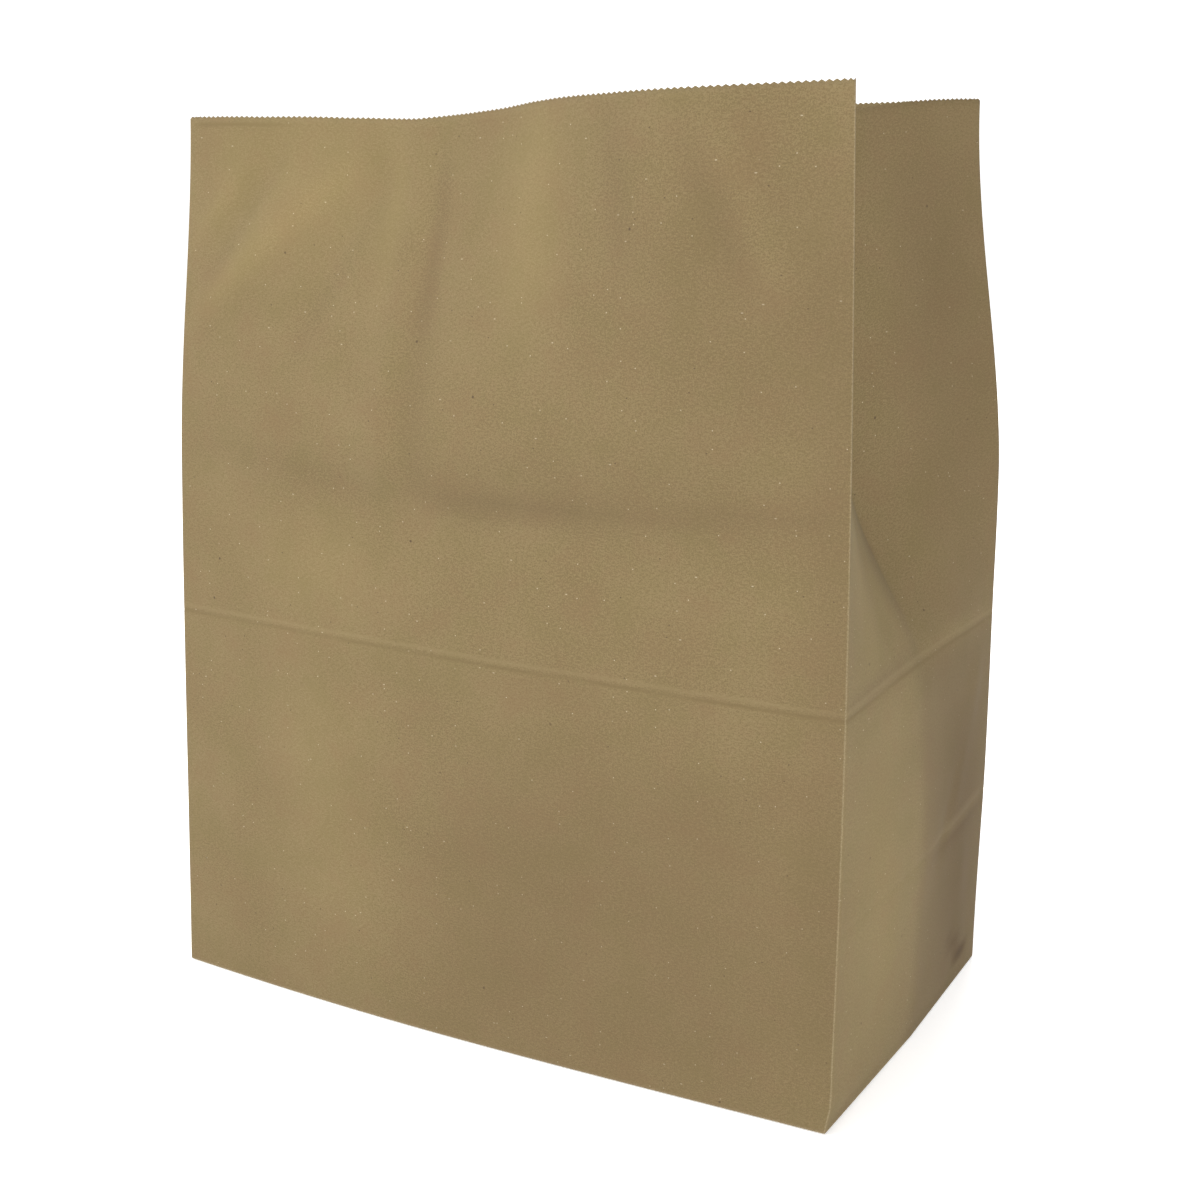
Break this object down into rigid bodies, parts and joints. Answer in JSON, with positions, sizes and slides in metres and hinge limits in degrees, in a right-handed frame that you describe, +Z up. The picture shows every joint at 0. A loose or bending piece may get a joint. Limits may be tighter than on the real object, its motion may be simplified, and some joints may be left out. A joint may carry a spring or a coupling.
{
  "type": "paper bag",
  "caption": "Open, free-standing block-bottom bag folded from one sheet of brown kraft paper, with side gussets and a saw-cut top edge.",
  "frame": {"origin": "middle of the base's flat rectangle, on the surface the bag stands on", "axes": "+Z up to the open mouth, front panel faces -Y, +X towards the right gusset as seen from the front"},
  "size_m": [0.2772, 0.1537, 0.3204],
  "materials": {
    "kraft_paper": "matt unbleached brown kraft paper, fine fibre mottling, uncoated and unprinted"
  },
  "bodies": {
    "root": {"paper_bag": "kraft_paper"}
  },
  "joints": []
}
